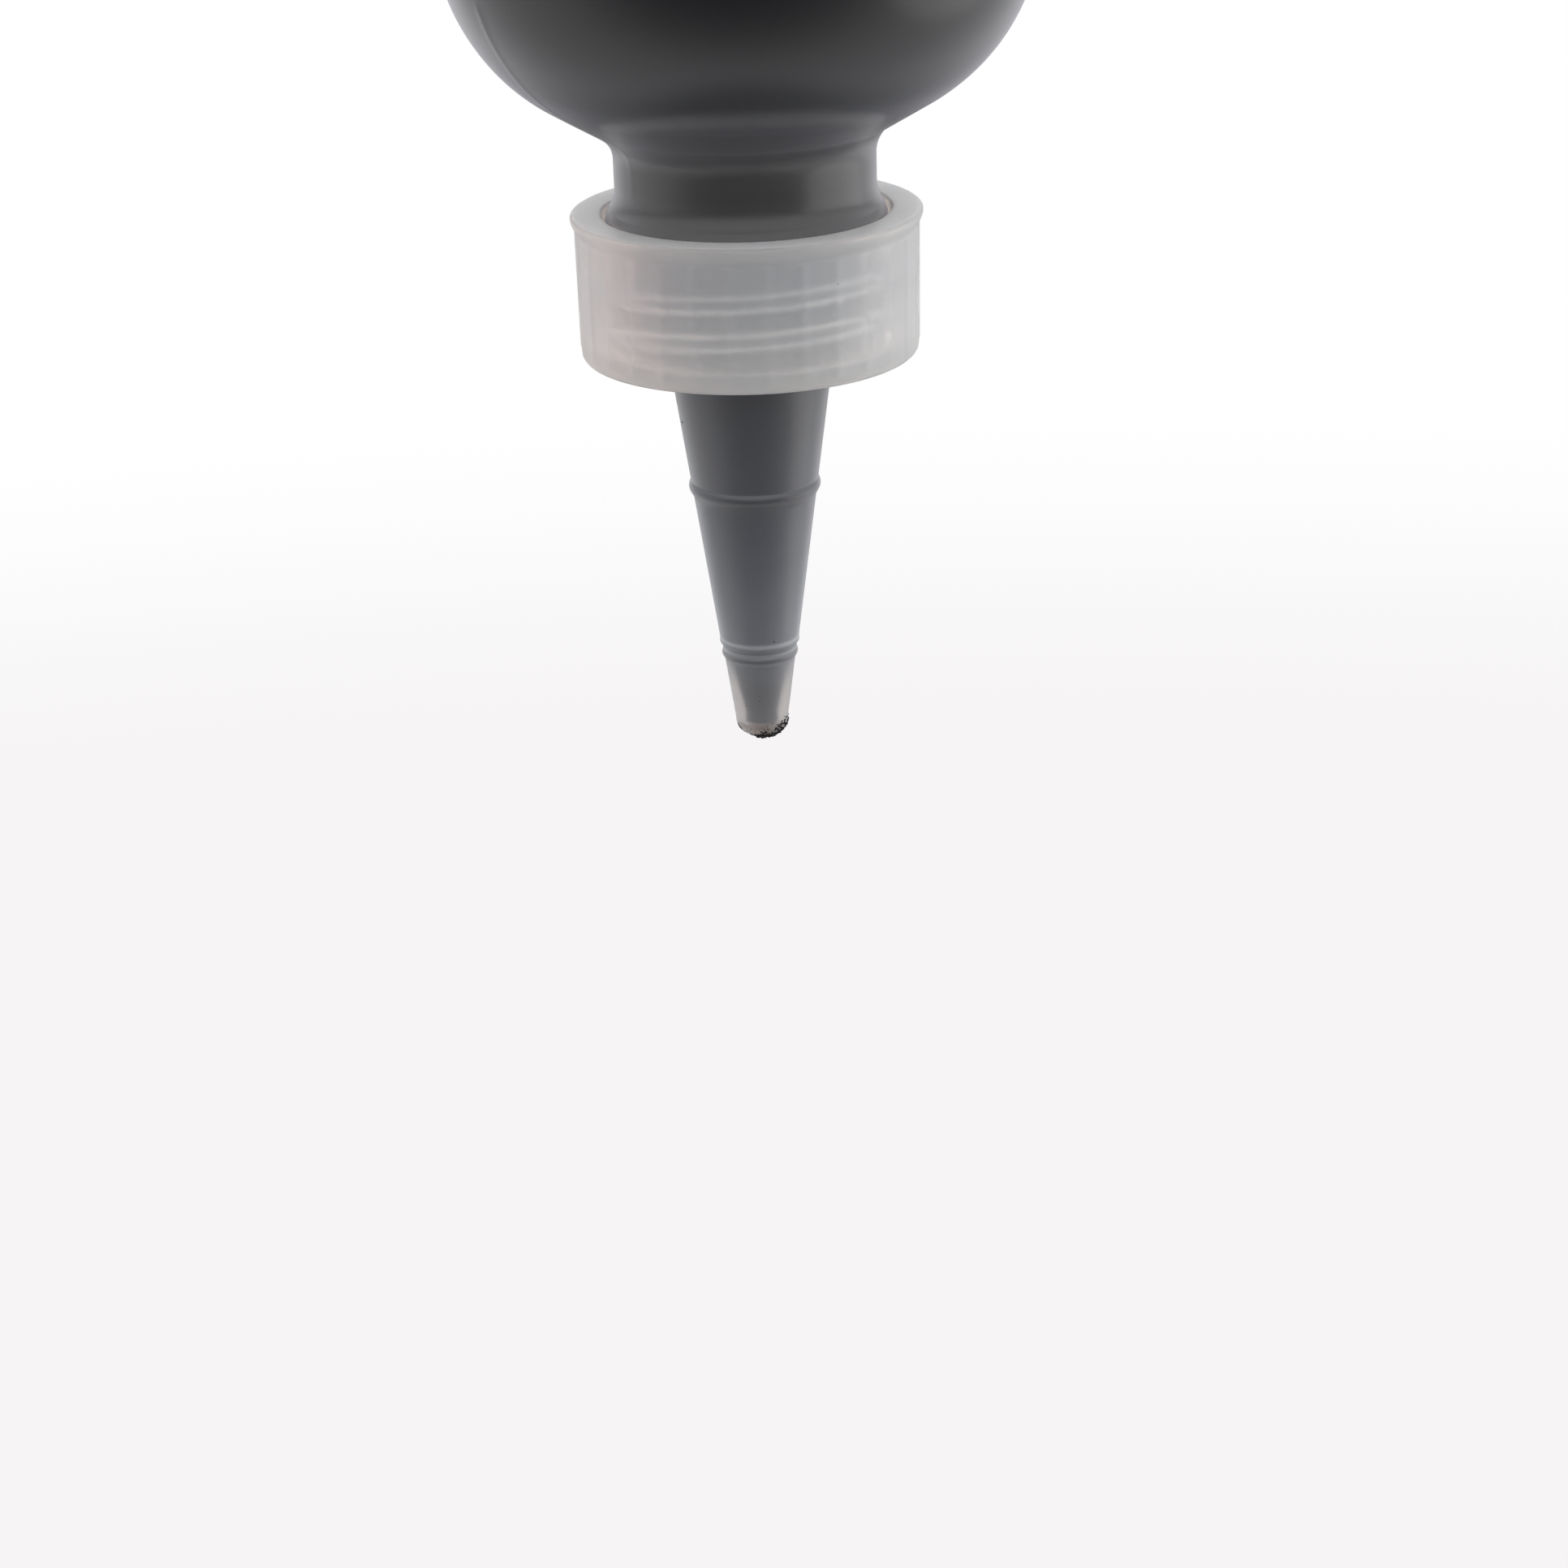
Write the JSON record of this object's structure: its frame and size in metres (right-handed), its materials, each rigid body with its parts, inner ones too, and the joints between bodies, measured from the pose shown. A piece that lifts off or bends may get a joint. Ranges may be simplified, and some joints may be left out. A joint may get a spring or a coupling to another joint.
{
  "type": "graphite lock lubricant tube",
  "caption": "Round squeeze bottle of graphite powder with a ribbed screw collar and a long tapered nozzle for dry lubrication of locks.",
  "frame": {"origin": "centre of the base on the surface that the bottle stands on", "axes": "+Z along the bottle's axis, from the base to the nozzle's tip; X and Y are alike, with +X towards the seam side of the bottle"},
  "size_m": [0.0496, 0.0496, 0.138],
  "materials": {
    "bottle_ldpe": "blow-moulded natural low-density polyethylene, satin, dark with graphite inside",
    "nozzle_ldpe": "injection-moulded natural low-density polyethylene, satin, grey with graphite inside",
    "collar_natural": "injection-moulded natural polypropylene, milky and translucent, satin",
    "graphite_powder": "fine dry graphite powder, matt with a faint metallic glint"
  },
  "bodies": {
    "bottle": {"bottle": "bottle_ldpe", "powder_charge": "graphite_powder"},
    "nozzle": {"nozzle": "nozzle_ldpe", "nozzle_powder": "graphite_powder", "tip_powder": "graphite_powder"},
    "collar": {"collar": "collar_natural"}
  },
  "joints": [
    {"name": "nozzle_lift", "type": "slide", "parent": "bottle", "child": "nozzle", "axis": [0, 0, 1], "range_m": [0, 0.00477]},
    {"name": "collar_turn", "type": "hinge", "parent": "nozzle", "child": "collar", "pos_m": [0, 0, 0.1015], "axis": [0, 0, 1], "range_deg": [0, 540]}
  ],
  "couplings": [
    {"joint": "nozzle_lift", "follows": "collar_turn", "m_per_rad": 0.00050532}
  ]
}
